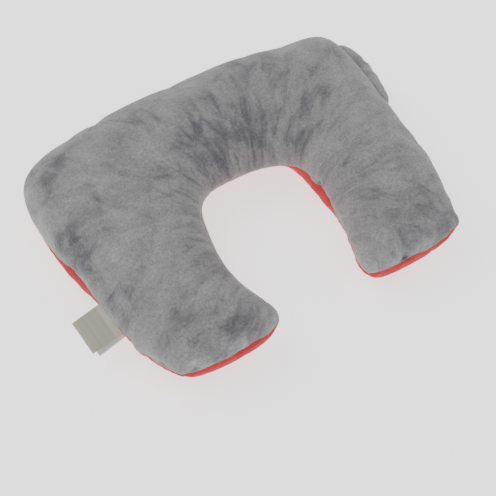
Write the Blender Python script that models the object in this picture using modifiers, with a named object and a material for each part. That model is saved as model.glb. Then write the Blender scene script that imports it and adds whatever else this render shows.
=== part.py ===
"""U-shaped inflatable neck pillow.

A zipped two-panel cover holds a welded air bladder, whose plug valve comes out of a gap in the
side seam under a half-moon flap. Everything is in metres. The origin is on the surface that the
pillow lies on, under the middle of the bridge behind the neck. +X is to the wearer's right,
+Y to the back, and +Z up. The two arms point to -Y.
"""

import math

import bmesh
import bpy
from mathutils import Matrix, Vector

# ---------------------------------------------------------------- driving dimensions
SEAM_Z = 0.040  # height of the seam that joins the two panels
CREST = 0.056  # rise of the top panel above the seam
PLUSH = 0.0025  # thickness of the top panel, pile included
KNIT = 0.001  # thickness of the bottom panel
FILM = 0.0005  # thickness of a bladder sheet
SEAM_GAP = 0.0004  # from the seam plane to each panel's edge

# Ribs across the right half, from the middle of the bridge to the tip of the arm. Each holds
# the x and y where it meets the outer seam, those where it meets the inner seam, how far it
# bows forward, its share of the full rise, and half the width of the opening that the zip fills.
BACK_Y = 0.066
ZIP_SLOT = 0.006
RIBS = (
    (0.000, BACK_Y, 0.000, -0.071, 0.000, 0.95, ZIP_SLOT),
    (0.040, BACK_Y, 0.024, -0.073, 0.000, 0.95, ZIP_SLOT),
    (0.080, BACK_Y, 0.045, -0.083, 0.000, 0.97, ZIP_SLOT),
    (0.115, BACK_Y, 0.060, -0.096, 0.000, 1.00, SEAM_GAP),
    (0.155, 0.0565, 0.070, -0.112, 0.000, 1.02, SEAM_GAP),
    (0.2045, 0.0450, 0.075, -0.129, 0.000, 1.03, SEAM_GAP),
    (0.2145, 0.0000, 0.077, -0.151, 0.000, 1.00, SEAM_GAP),
    (0.2095, -0.056, 0.0755, -0.176, 0.000, 0.97, SEAM_GAP),
    (0.2045, -0.107, 0.0715, -0.198, 0.000, 0.95, SEAM_GAP),
    (0.2005, -0.151, 0.064, -0.2175, 0.000, 0.93, SEAM_GAP),
    (0.1965, -0.190, 0.057, -0.234, 0.003, 0.90, SEAM_GAP),
    (0.191, -0.224, 0.052, -0.2465, 0.007, 0.80, SEAM_GAP),
    (0.178, -0.2505, 0.0555, -0.2555, 0.010, 0.42, SEAM_GAP),
    (0.176, -0.254, 0.057, -0.258, 0.010, 0.00, SEAM_GAP),
)
# Rows along the pillow, from the outer seam to the inner one: the place across, as a share of
# the rib, and the share of the full rise or drop there.
ROW_PLACE = (0.0, 0.0, 0.10, 0.28, 0.50, 0.72, 0.90, 1.0, 1.0)
TOP_SHARE = (0.0, 0.42, 0.84, 1.00, 1.03, 1.00, 0.84, 0.42, 0.0)
BOTTOM_SHARE = (0.0, 0.45, 0.88, 1.00, 1.00, 1.00, 0.88, 0.45, 0.0)

# The bladder
FLANGE_INSET = 0.014  # from the cover's seam to the edge of the bladder's weld
FLANGE_WIDTH = 0.006
BLADDER_CREST = 0.046
BLADDER_DROP = 0.034

# The valve, which points to +X through the seam of the right arm
VALVE_Y = -0.019
VALVE_Z = 0.036
STEM_INNER_X = 0.184
STEM_OUTER_X = 0.2195
STEM_R = 0.007
BORE_R = 0.005
SEAT_R = 0.003
CAP_R = 0.008
RUNNING_GAP = 0.0003

# The half-moon flap over the valve
FLAP_LENGTH = 0.104
FLAP_DEPTH = 0.024
FLAP_SKEW = 1.82  # over 1, the flap is fullest nearer its back end
FLAP_FULLNESS = 0.6  # under 1, the curved edge is squarer than a half-moon's
FLAP_HINGE = Vector((0.2125, -0.030, 0.058))
FLAP_SLOPE = math.radians(34.0)

# The zip in the back seam, which closes to +X
ZIP_START_X = -0.074
TEETH = 45
TOOTH_PITCH = 0.003
TOOTH_WIDTH = 0.0012
TOOTH_REACH = 0.0013  # past the middle of the chain
SPINE_NEAR = 0.0016
SPINE_FAR = 0.0032
CHAIN_FRONT = BACK_Y - 0.0006
CHAIN_BACK = BACK_Y - 0.0028
TAPE_FRONT = BACK_Y - 0.0031
TAPE_BACK = BACK_Y - 0.0037
TAPE_EDGE = 0.0009
TAPE_WIDTH = 0.012
TAPE_HALF_LENGTH = 0.087
SLIDER_X = 0.070
SLIDER_FACE = BACK_Y + 0.0009
SLIDER_HALF_WIDTH = 0.0046

# The labels in the seam of the left arm
TAB_PLACE = Vector((-0.2012, -0.158, SEAM_Z))
TAB_SIZE = (0.032, 0.040, 0.0014)
TAB_SLOPE = math.radians(19.0)
CARE_PLACE = Vector((-0.2000, -0.166, SEAM_Z - 0.0032))
CARE_SIZE = (0.030, 0.036, 0.0004)
CARE_SLOPE = math.radians(28.0)
SIDE_LEAN = math.radians(5.5)  # the left arm's seam there, from the Y axis

# ---------------------------------------------------------------- scene and materials
for leftover in list(bpy.data.objects):
    bpy.data.objects.remove(leftover)

parts = bpy.data.collections.new("neck_pillow")
cutters = bpy.data.collections.new("cutters")
bpy.context.scene.collection.children.link(parts)
bpy.context.scene.collection.children.link(cutters)


def material(name, colour, roughness, metallic=0.0):
    made = bpy.data.materials.new(name)
    made.use_nodes = True
    shader = made.node_tree.nodes["Principled BSDF"]
    shader.inputs["Base Color"].default_value = (*colour, 1.0)
    shader.inputs["Roughness"].default_value = roughness
    shader.inputs["Metallic"].default_value = metallic
    return made


GREY_PLUSH = material("grey_plush", (0.26, 0.26, 0.27), 0.9)
RED_KNIT = material("red_knit", (0.62, 0.06, 0.06), 0.8)
TAB_RIBBON = material("tab_ribbon", (0.43, 0.42, 0.34), 0.6)
CARE_SATIN = material("care_satin", (0.85, 0.85, 0.83), 0.5)
ZIP_TAPE = material("zip_tape", (0.20, 0.20, 0.21), 0.85)
ZIP_TEETH = material("zip_teeth", (0.16, 0.16, 0.17), 0.4)
ZIP_METAL = material("zip_metal", (0.45, 0.45, 0.47), 0.3, 1.0)
BLADDER_FILM = material("bladder_film", (0.10, 0.12, 0.17), 0.45)
VALVE_VINYL = material("valve_vinyl", (0.75, 0.76, 0.78), 0.35)


# ---------------------------------------------------------------- helpers
def keep(name, mesh_or_curve, finish, collection=parts):
    """A new object in a collection, with its material."""
    made = bpy.data.objects.new(name, mesh_or_curve)
    collection.objects.link(made)
    if finish:
        made.data.materials.append(finish)
    return made


def box(name, low, high, finish, bevel=0.0):
    """A box between two corners, with its edges rounded if bevel is set."""
    low, high = Vector(low), Vector(high)
    size = high - low
    shape = bmesh.new()
    bmesh.ops.create_cube(shape, size=1.0)
    bmesh.ops.scale(shape, vec=size, verts=shape.verts)
    mesh = bpy.data.meshes.new(name)
    shape.to_mesh(mesh)
    shape.free()
    made = keep(name, mesh, finish)
    made.location = (low + high) / 2
    if bevel:
        add_bevel(made, bevel)
    return made


def add_bevel(made, width, segments=1):
    rounding = made.modifiers.new("round_edges", "BEVEL")
    rounding.width = width
    rounding.segments = segments
    rounding.limit_method = "ANGLE"


def cylinder(name, radius, start_x, end_x, centre, finish=None, sides=32):
    """A cylinder along X between two planes."""
    shape = bmesh.new()
    bmesh.ops.create_cone(
        shape, cap_ends=True, segments=sides, radius1=radius, radius2=radius, depth=end_x - start_x
    )
    bmesh.ops.rotate(shape, matrix=Matrix.Rotation(math.pi / 2, 3, "Y"), verts=shape.verts)
    mesh = bpy.data.meshes.new(name)
    shape.to_mesh(mesh)
    shape.free()
    made = keep(name, mesh, finish)
    made.location = ((start_x + end_x) / 2, centre[0], centre[1])
    return made


def turned(name, profile, finish, centre, sides=28):
    """A closed profile of (x, radius) points turned about a line along X through centre.

    The profile runs from high x to low x on its outer side."""
    mesh = bpy.data.meshes.new(name)
    points = [(radius, 0.0, x) for x, radius in profile]
    count = len(points)
    mesh.from_pydata(points, [(i, (i + 1) % count) for i in range(count)], [])
    made = keep(name, mesh, finish)
    screw = made.modifiers.new("turn", "SCREW")
    screw.axis = "Z"
    screw.steps = sides
    screw.render_steps = sides
    screw.use_merge_vertices = True
    screw.merge_threshold = 0.00001
    screw.use_smooth_shade = True
    made.rotation_euler = (0.0, math.pi / 2, 0.0)
    made.location = (0.0, centre[0], centre[1])
    return made


def outline(name, points, thickness, finish):
    """A flat outline in its own XY plane, extruded to both sides."""
    flat = bpy.data.curves.new(name, "CURVE")
    flat.dimensions = "2D"
    flat.fill_mode = "BOTH"
    flat.extrude = thickness / 2
    spline = flat.splines.new("POLY")
    spline.points.add(len(points) - 1)
    for point, (x, y) in zip(spline.points, points):
        point.co = (x, y, 0.0, 1.0)
    spline.use_cyclic_u = True
    return keep(name, flat, finish)


def as_mesh(made):
    """The same object with its curve and modifiers turned into a welded mesh."""
    bpy.context.view_layer.update()
    evaluated = made.evaluated_get(bpy.context.evaluated_depsgraph_get())
    mesh = bpy.data.meshes.new_from_object(evaluated)
    shape = bmesh.new()
    shape.from_mesh(mesh)
    bmesh.ops.remove_doubles(shape, verts=shape.verts, dist=0.000005)
    bmesh.ops.recalc_face_normals(shape, faces=shape.faces)
    shape.to_mesh(mesh)
    shape.free()
    name, place = made.name, made.matrix_world.copy()
    bpy.data.objects.remove(made)
    solid = bpy.data.objects.new(name, mesh)
    parts.objects.link(solid)
    solid.matrix_world = place
    return solid


def combine(target, other, operation):
    """A Boolean on target, with the other object kept as its cutter."""
    change = target.modifiers.new(other.name, "BOOLEAN")
    change.operation = operation
    change.object = other
    for holder in list(other.users_collection):
        holder.objects.unlink(other)
    cutters.objects.link(other)
    other.hide_render = True
    other.display_type = "WIRE"


def smooth(made, degrees=35.0):
    made.data.shade_smooth()
    made.data.set_sharp_from_angle(angle=math.radians(degrees))


# ---------------------------------------------------------------- the padded shells
def rib_point(rib, place, inset, back):
    """The plan position on a rib whose ends are moved in by inset, and itself back."""
    outer, inner, bow = Vector(rib[0:2]), Vector(rib[2:4]), rib[4]
    across = (inner - outer).normalized()
    point = (outer + across * inset).lerp(inner - across * inset, place)
    point.y += back - bow * 4 * place * (1 - place)
    return point


def shell(name, finish, rise, rim, ribs, row_place, row_share):
    """One panel: a coarse cage of ribs and rows, mirrored to the other half.

    Each rib comes with its inset, how far back it is moved, its own share of the rise, and the
    distance from the seam plane to the panel's outer edge. A positive rise makes an upper panel,
    and a negative one a lower panel. The rim is that distance everywhere else round the panel."""
    side = 1.0 if rise > 0 else -1.0
    shape = bmesh.new()
    grid = []
    for rib, inset, back, full, outer_rim in ribs:
        column = []
        for row, (place, share) in enumerate(zip(row_place, row_share)):
            if not full:
                place += (0.5 - place) * 0.04 if share else 0.0
            plan = rib_point(rib, place, inset, back)
            edge = rim if row else outer_rim
            column.append(shape.verts.new((plan.x, plan.y, SEAM_Z + side * edge + rise * share * full)))
        grid.append(column)
    for near, far in zip(grid, grid[1:]):
        for row in range(len(row_place) - 1):
            corners = (near[row], near[row + 1], far[row + 1], far[row])
            shape.faces.new(corners if rise > 0 else corners[::-1])
    mesh = bpy.data.meshes.new(name)
    shape.to_mesh(mesh)
    shape.free()
    made = keep(name, mesh, finish)
    mirror = made.modifiers.new("other_half", "MIRROR")
    mirror.merge_threshold = 0.0001
    made.data.shade_smooth()
    return made


def add_rounding(made):
    rounding = made.modifiers.new("rounding", "SUBSURF")
    rounding.levels = 1
    rounding.render_levels = 1


def add_thickness(made, thickness):
    solid = made.modifiers.new("thickness", "SOLIDIFY")
    solid.thickness = thickness
    solid.offset = -1.0
    solid.use_even_offset = True


def cover():
    """The two panels, which meet at the seam and leave room for the zip and the valve."""
    top_ribs = [(rib, 0.0, 0.0, rib[5], rib[6]) for rib in RIBS]
    bottom_ribs = [(rib, 0.0, 0.0, min(1.0, rib[5] * 1.15), rib[6]) for rib in RIBS]
    top = shell("cover_top_panel", GREY_PLUSH, CREST, SEAM_GAP, top_ribs, ROW_PLACE, TOP_SHARE)
    bottom = shell(
        "cover_bottom_panel",
        RED_KNIT,
        SEAM_GAP - SEAM_Z,
        SEAM_GAP,
        bottom_ribs,
        ROW_PLACE,
        BOTTOM_SHARE,
    )
    for panel, thickness in ((top, PLUSH), (bottom, KNIT)):
        add_rounding(panel)
        add_thickness(panel, thickness)
        port = cylinder(panel.name + "_port", STEM_R + 0.001, 0.200, 0.225, (VALVE_Y, VALVE_Z))
        combine(panel, port, "DIFFERENCE")


def bladder():
    """Two welded sheets: a flat flange all round, then the domed body."""
    near = FLANGE_WIDTH / 0.125
    place = (0.0, near, near + 0.02, 0.17, 0.32, 0.50, 0.68, 0.83, 0.98 - near, 1 - near, 1.0)
    share = (0.0, 0.0, 0.40, 0.74, 0.95, 1.0, 0.95, 0.74, 0.40, 0.0, 0.0)
    tip = RIBS[-1]
    rim = FILM + SEAM_GAP
    ribs = [(rib, FLANGE_INSET, 0.0, rib[5], rim) for rib in RIBS[:-3]]
    ribs.append((RIBS[-2], FLANGE_INSET, FLANGE_INSET + FLANGE_WIDTH, 0.35, rim))
    ribs.append((tip, FLANGE_INSET, FLANGE_INSET + FLANGE_WIDTH, 0.0, rim))
    ribs.append((tip, FLANGE_INSET, FLANGE_INSET, 0.0, rim))
    for name, rise in (("bladder_top_sheet", BLADDER_CREST), ("bladder_bottom_sheet", -BLADDER_DROP)):
        sheet = shell(name, BLADDER_FILM, rise, rim, ribs, place, share)
        add_thickness(sheet, FILM)
        port = cylinder(name + "_port", STEM_R + RUNNING_GAP, 0.180, 0.215, (VALVE_Y, VALVE_Z))
        combine(sheet, port, "DIFFERENCE")


# ---------------------------------------------------------------- the valve
def valve():
    centre = (VALVE_Y, VALVE_Z)
    collar_x = STEM_OUTER_X - 0.003
    turned(
        "valve_stem",
        (
            (STEM_OUTER_X, BORE_R),
            (STEM_OUTER_X, 0.0073),
            (STEM_OUTER_X - 0.0005, 0.0078),
            (collar_x, 0.0078),
            (collar_x, STEM_R),
            (STEM_INNER_X, STEM_R),
            (STEM_INNER_X, SEAT_R),
            (STEM_INNER_X + 0.003, SEAT_R),
            (STEM_INNER_X + 0.003, BORE_R),
        ),
        VALVE_VINYL,
        centre,
    )
    check_x = STEM_INNER_X - RUNNING_GAP
    check_r = 0.006
    flap = cylinder("valve_check_flap", check_r, check_x - 0.0008, check_x, centre, VALVE_VINYL, 24)
    flap.data.transform(Matrix.Translation((0.0, 0.0, -check_r)))
    flap.location.z += check_r
    smooth(flap)

    spigot_x = STEM_OUTER_X - 0.008
    cap_x = STEM_OUTER_X + RUNNING_GAP
    spigot_r = BORE_R - RUNNING_GAP
    plug = turned(
        "valve_plug",
        (
            (cap_x + 0.0025, 0.0),
            (cap_x + 0.0025, CAP_R - 0.001),
            (cap_x + 0.0015, CAP_R),
            (cap_x, CAP_R),
            (cap_x, spigot_r),
            (spigot_x + 0.001, spigot_r),
            (spigot_x, spigot_r - 0.001),
            (spigot_x, 0.0),
        ),
        VALVE_VINYL,
        centre,
    )
    plug = as_mesh(plug)
    grip = box(
        "valve_plug_grip",
        (cap_x + 0.0004, VALVE_Y + 0.005, VALVE_Z - 0.004),
        (cap_x + 0.0018, VALVE_Y + 0.0140, VALVE_Z + 0.004),
        VALVE_VINYL,
    )
    combine(plug, grip, "UNION")

    ring_x = collar_x - 0.0018
    tether = turned(
        "valve_tether",
        ((ring_x + 0.0014, 0.0073), (ring_x + 0.0014, 0.0088), (ring_x, 0.0088), (ring_x, 0.0073)),
        VALVE_VINYL,
        centre,
    )
    tether = as_mesh(tether)
    strap_top = VALVE_Z - CAP_R - RUNNING_GAP
    strap = box(
        "valve_tether_strap",
        (ring_x, VALVE_Y - 0.0025, strap_top - 0.0012),
        (cap_x + 0.0022, VALVE_Y + 0.0025, strap_top),
        VALVE_VINYL,
    )
    link = box(
        "valve_tether_link",
        (ring_x + 0.0001, VALVE_Y - 0.0024, strap_top - 0.0006),
        (ring_x + 0.0013, VALVE_Y + 0.0024, VALVE_Z - 0.0080),
        VALVE_VINYL,
    )
    combine(tether, strap, "UNION")
    combine(tether, link, "UNION")


def valve_flap():
    """A half-moon of plush, hinged where its straight edge is sewn to the top panel."""
    steps = 20
    arc = []
    for i in range(steps + 1):
        share = i / steps
        depth = FLAP_DEPTH * math.sin(math.pi * share) ** FLAP_FULLNESS
        arc.append((depth, FLAP_LENGTH * (0.5 - share**FLAP_SKEW)))
    flap = outline("valve_flap", arc, PLUSH, GREY_PLUSH)
    flap = as_mesh(flap)
    flap.data.transform(Matrix.Translation((0.0, 0.0, PLUSH / 2)))
    flap.matrix_world = Matrix.Translation(FLAP_HINGE) @ Matrix.Rotation(FLAP_SLOPE, 4, "Y")
    add_bevel(flap, 0.0006)


# ---------------------------------------------------------------- the zip
def comb(name, sign, first_x):
    """One side of the chain: a spine with square teeth, in the XZ plane."""
    points = []
    for tooth in range(TEETH):
        left = first_x + tooth * TOOTH_PITCH
        right = left + TOOTH_WIDTH
        points += [(left, SPINE_NEAR), (left, -TOOTH_REACH), (right, -TOOTH_REACH), (right, SPINE_NEAR)]
    end_x = first_x + TEETH * TOOTH_PITCH - TOOTH_PITCH + TOOTH_WIDTH
    points += [(end_x, SPINE_FAR), (first_x, SPINE_FAR)]
    made = outline(name, [(x, sign * z) for x, z in points], CHAIN_FRONT - CHAIN_BACK, ZIP_TEETH)
    made.rotation_euler = (math.pi / 2, 0.0, 0.0)
    made.location = (0.0, (CHAIN_FRONT + CHAIN_BACK) / 2, SEAM_Z)
    as_mesh(made)


def stop(name, centre_x, half_length, low, high):
    """A crimped clamp on the edge of a tape, slotted for the tape."""
    clamp = box(
        name,
        (centre_x - half_length, TAPE_BACK - 0.0012, SEAM_Z + low),
        (centre_x + half_length, CHAIN_FRONT, SEAM_Z + high),
        ZIP_METAL,
        bevel=0.0003,
    )
    for sign in (1, -1):
        near, far = sorted((sign * (TAPE_EDGE - RUNNING_GAP), sign * 0.008))
        if high > near and low < far:
            slot = box(
                f"{name}_slot_{'upper' if sign > 0 else 'lower'}",
                (centre_x - 0.006, TAPE_BACK - RUNNING_GAP, SEAM_Z + near),
                (centre_x + 0.006, TAPE_FRONT + RUNNING_GAP, SEAM_Z + far),
                None,
            )
            combine(clamp, slot, "DIFFERENCE")


def zip_chain():
    comb("zip_teeth_upper", 1, ZIP_START_X)
    comb("zip_teeth_lower", -1, ZIP_START_X + TOOTH_PITCH / 2)
    for name, sign in (("zip_tape_upper", 1), ("zip_tape_lower", -1)):
        near, far = sorted((sign * TAPE_EDGE, sign * (TAPE_EDGE + TAPE_WIDTH)))
        box(
            name,
            (-TAPE_HALF_LENGTH, TAPE_BACK, SEAM_Z + near),
            (TAPE_HALF_LENGTH, TAPE_FRONT, SEAM_Z + far),
            ZIP_TAPE,
        )
    stop("zip_top_stop_upper", SLIDER_X + 0.0105, 0.0014, 0.0002, 0.0032)
    stop("zip_top_stop_lower", SLIDER_X + 0.0105, 0.0014, -0.0032, -0.0002)
    stop("zip_bottom_stop", ZIP_START_X - 0.0022, 0.0016, -0.0030, 0.0030)


def slider_plate(name, front, back):
    """One wing of the slider: wide at the head, narrower at the tail."""
    length, head, tail = 0.0155, SLIDER_HALF_WIDTH, SLIDER_HALF_WIDTH - 0.0006
    nose = 0.0022
    points = (
        (length / 2, -nose),
        (length / 2, nose),
        (length / 2 - 0.002, head),
        (-length / 2 + 0.001, tail),
        (-length / 2, tail - 0.001),
        (-length / 2, -tail + 0.001),
        (-length / 2 + 0.001, -tail),
        (length / 2 - 0.002, -head),
    )
    plate = outline(name, points, front - back, ZIP_METAL)
    plate.rotation_euler = (math.pi / 2, 0.0, 0.0)
    plate.location = (SLIDER_X, (front + back) / 2, SEAM_Z)
    return as_mesh(plate)


def zip_slider():
    outer_back = BACK_Y - 0.0003
    inner_front = TAPE_BACK - 0.0004
    inner_back = inner_front - 0.0012
    slider = slider_plate("zip_slider", SLIDER_FACE, outer_back)
    combine(slider, slider_plate("zip_slider_inner_wing", inner_front, inner_back), "UNION")
    post = box(
        "zip_slider_post",
        (SLIDER_X + 0.0035, inner_front - 0.0006, SEAM_Z - 0.00055),
        (SLIDER_X + 0.0070, outer_back + 0.0006, SEAM_Z + 0.00055),
        None,
    )
    combine(slider, post, "UNION")
    for name, sign in (("upper", 1), ("lower", -1)):
        near, far = sorted((sign * 0.0036, sign * 0.0041))
        lip = box(
            f"zip_slider_lip_{name}",
            (SLIDER_X - 0.0060, CHAIN_BACK + 0.0002, SEAM_Z + near),
            (SLIDER_X + 0.0050, outer_back + 0.0006, SEAM_Z + far),
            None,
        )
        combine(slider, lip, "UNION")
    combine(slider, bail(), "UNION")


def bail():
    """The flat arch on the slider that the pull hangs from."""
    rise, reach, width, thick = 0.0034, 0.0048, 0.0024, 0.0011
    steps = 10
    outer = [
        (reach * math.cos(math.pi * i / steps), rise * math.sin(math.pi * i / steps))
        for i in range(steps + 1)
    ]
    inner = [
        ((reach - thick) * math.cos(math.pi * i / steps), (rise - thick) * math.sin(math.pi * i / steps))
        for i in range(steps + 1)
    ]
    foot = 0.0006
    points = outer + [(-reach, -foot), (-reach + thick, -foot)] + inner[::-1]
    points += [(reach - thick, -foot), (reach, -foot)]
    arch = outline("zip_slider_bail", points, width, ZIP_METAL)
    arch.location = (SLIDER_X, SLIDER_FACE, SEAM_Z)
    return as_mesh(arch)


def zip_pull():
    """The tab, lying along the closed chain, with the eye round the bail."""
    thick = 0.0013
    lift = SLIDER_FACE + 0.0004 + thick / 2
    eye_half, tab_half, tip_half = 0.0029, 0.0034, 0.0028
    points = (
        (0.0007, -eye_half + 0.0006),
        (0.0007, eye_half - 0.0006),
        (0.0001, eye_half),
        (-0.0080, eye_half),
        (-0.0120, tab_half),
        (-0.0260, tab_half),
        (-0.0285, tip_half),
        (-0.0300, tip_half - 0.0016),
        (-0.0300, -tip_half + 0.0016),
        (-0.0285, -tip_half),
        (-0.0260, -tab_half),
        (-0.0120, -tab_half),
        (-0.0080, -eye_half),
        (0.0001, -eye_half),
    )
    tab = outline("zip_pull", points, thick, ZIP_METAL)
    tab.rotation_euler = (math.pi / 2, 0.0, 0.0)
    tab.location = (SLIDER_X, lift, SEAM_Z)
    tab = as_mesh(tab)
    eye = box(
        "zip_pull_eye",
        (SLIDER_X - 0.0066, lift - 0.002, SEAM_Z - 0.0016),
        (SLIDER_X - 0.0007, lift + 0.002, SEAM_Z + 0.0016),
        None,
    )
    combine(tab, eye, "DIFFERENCE")


# ---------------------------------------------------------------- the labels
def label(name, place, size, slope, finish, bevel):
    """A flat ribbon that leaves the left seam and droops."""
    depth, width, thick = size
    made = box(name, (-depth, -width / 2, -thick / 2), (0.0, width / 2, thick / 2), finish, bevel)
    centred = Matrix.Translation((-depth / 2, 0.0, 0.0))
    turn = Matrix.Rotation(SIDE_LEAN, 4, "Z") @ Matrix.Rotation(-slope, 4, "Y")
    made.matrix_world = Matrix.Translation(place) @ turn @ centred
    return made


cover()
bladder()
valve()
valve_flap()
zip_chain()
zip_slider()
zip_pull()
label("brand_tab", TAB_PLACE, TAB_SIZE, TAB_SLOPE, TAB_RIBBON, 0.0004)
label("care_label", CARE_PLACE, CARE_SIZE, CARE_SLOPE, CARE_SATIN, 0.0)
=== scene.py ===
"""The looks of the U-shaped neck pillow: plush and knit cover, labels, flap, valve and zip."""

import math

import bpy
import numpy as np
from mathutils import Matrix, Vector, kdtree, noise
from mathutils.bvhtree import BVHTree


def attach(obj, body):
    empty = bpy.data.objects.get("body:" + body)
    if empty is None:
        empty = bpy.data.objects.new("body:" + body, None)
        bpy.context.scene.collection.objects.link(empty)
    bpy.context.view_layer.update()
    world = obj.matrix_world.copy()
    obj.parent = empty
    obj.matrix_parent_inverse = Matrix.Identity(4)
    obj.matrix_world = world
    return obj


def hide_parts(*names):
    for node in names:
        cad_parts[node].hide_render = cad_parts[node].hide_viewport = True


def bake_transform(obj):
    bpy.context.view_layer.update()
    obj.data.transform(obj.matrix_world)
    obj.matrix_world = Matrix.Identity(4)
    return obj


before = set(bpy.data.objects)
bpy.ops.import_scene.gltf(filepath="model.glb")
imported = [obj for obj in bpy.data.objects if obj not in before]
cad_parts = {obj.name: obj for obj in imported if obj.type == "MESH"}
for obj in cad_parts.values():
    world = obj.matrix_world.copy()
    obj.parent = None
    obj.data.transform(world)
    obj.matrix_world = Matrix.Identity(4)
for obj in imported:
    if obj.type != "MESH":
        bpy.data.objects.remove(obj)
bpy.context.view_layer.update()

# ---------------------------------------------------------------- sizes shared with the CAD part
SEAM_Z = 0.040
CREST = 0.056
BACK_Y = 0.066
VALVE = Vector((0.2130, -0.019, 0.036))
FLAP_HINGE = Vector((0.2125, -0.030, 0.058))
FLAP_LENGTH = 0.104
FLAP_DEPTH = 0.024
FLAP_SKEW = 1.82  # over 1, the flap is fullest nearer its back end
FLAP_FULLNESS = 0.6  # under 1, the curved edge is squarer than a half-moon's

# ---------------------------------------------------------------- the cover's ribs
# From the middle of the bridge to the tip of each arm, the two arms not alike: outer x and y, inner
# x and y, forward bow, share of the rise, and how far the knit tucks under at the outer and inner
# seam.
MIDDLE = (0.000, 0.0675, 0.012, -0.0785, 0.000, 1.01, 0.015, 0.18)
RIGHT = (
    (0.040, 0.067, 0.034, -0.0805, 0.000, 1.00, 0.015, 0.19),
    (0.080, 0.0680, 0.056, -0.0875, 0.000, 0.92, 0.010, 0.22),
    (0.115, 0.0650, 0.072, -0.0945, 0.000, 0.91, 0.010, 0.16),
    (0.158, 0.0520, 0.080, -0.106, 0.000, 0.92, 0.06, 0.03),
    (0.206, 0.0480, 0.082, -0.126, 0.000, 0.99, 0.08, -0.01),
    (0.2135, 0.0000, 0.081, -0.150, 0.000, 0.98, 0.08, 0.00),
    (0.2115, -0.056, 0.077, -0.174, 0.000, 0.96, 0.08, 0.07),
    (0.2095, -0.107, 0.072, -0.196, 0.000, 0.95, 0.08, 0.12),
    (0.2065, -0.151, 0.0665, -0.216, 0.000, 0.93, 0.08, 0.10),
    (0.2045, -0.190, 0.062, -0.234, 0.002, 0.90, 0.08, 0.05),
    (0.1955, -0.225, 0.060, -0.246, 0.005, 0.80, 0.10, 0.07),
    (0.189, -0.254, 0.064, -0.255, 0.008, 0.45, 0.08, 0.07),
    (0.187, -0.258, 0.066, -0.258, 0.008, 0.00, 0.08, 0.07),
)
LEFT = (
    (-0.040, 0.0675, -0.010, -0.0780, 0.000, 1.06, 0.015, 0.18),
    (-0.080, 0.0670, -0.030, -0.0820, 0.000, 1.04, 0.015, 0.17),
    (-0.115, 0.0645, -0.043, -0.0905, 0.000, 0.99, 0.04, 0.15),
    (-0.155, 0.0580, -0.051, -0.105, 0.000, 0.99, 0.08, 0.10),
    (-0.203, 0.0420, -0.0560, -0.126, 0.000, 1.03, 0.10, 0.08),
    (-0.2140, -0.002, -0.0610, -0.150, 0.000, 1.00, 0.07, 0.08),
    (-0.2115, -0.056, -0.0635, -0.174, 0.000, 0.97, 0.02, 0.08),
    (-0.2005, -0.107, -0.062, -0.196, 0.000, 0.95, -0.02, 0.08),
    (-0.1975, -0.151, -0.058, -0.216, 0.000, 0.93, 0.12, 0.08),
    (-0.194, -0.192, -0.050, -0.234, 0.002, 0.90, 0.08, 0.08),
    (-0.1845, -0.229, -0.0435, -0.248, 0.005, 0.80, 0.08, 0.08),
    (-0.166, -0.254, -0.046, -0.256, 0.008, 0.45, 0.08, 0.08),
    (-0.163, -0.257, -0.048, -0.258, 0.008, 0.00, 0.08, 0.08),
)
# Rows along the pillow, from the outer seam to the inner one: the place across, as a share of the
# rib, and the share of the full rise or drop there.
ROW_PLACE = (0.0, 0.0, 0.10, 0.28, 0.50, 0.72, 0.90, 1.0, 1.0)
TOP_SHARE = (0.0, 0.42, 0.84, 1.00, 1.03, 1.00, 0.84, 0.42, 0.0)
BOTTOM_SHARE = (0.0, 0.45, 0.88, 1.00, 1.00, 1.00, 0.88, 0.45, 0.0)


# ---------------------------------------------------------------- camera, light and floor
CAMERA_AZIMUTH = math.radians(-31.5)
CAMERA_ELEVATION = math.radians(55.3)
CAMERA_DISTANCE = 1.327
CAMERA_LENS = 86.7
CAMERA_SHIFT = (3 / 496, -42 / 496)
AIM_AT = Vector((0.0, -0.110, SEAM_Z))
FLOOR_SIZE = 6.0
FLOOR_DROP = 0.0004  # just under the pillow, so that the two don't meet
FLOOR_GLOW = 1.40
WORLD_GLOW = 0.56
LIGHT_AIM = (0.0, -0.1, 0.05)
LIGHTS = (
    ("key_light", (-0.7, 0.7, 1.5), 1.2, 14.0),
    ("fill_light", (1.2, -0.9, 1.2), 1.4, 6.0),
    ("front_light", (-0.5, -1.3, 1.1), 1.2, 5.0),
)


def aim(made, target):
    made.rotation_euler = (Vector(target) - made.location).to_track_quat("-Z", "Y").to_euler()


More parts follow.
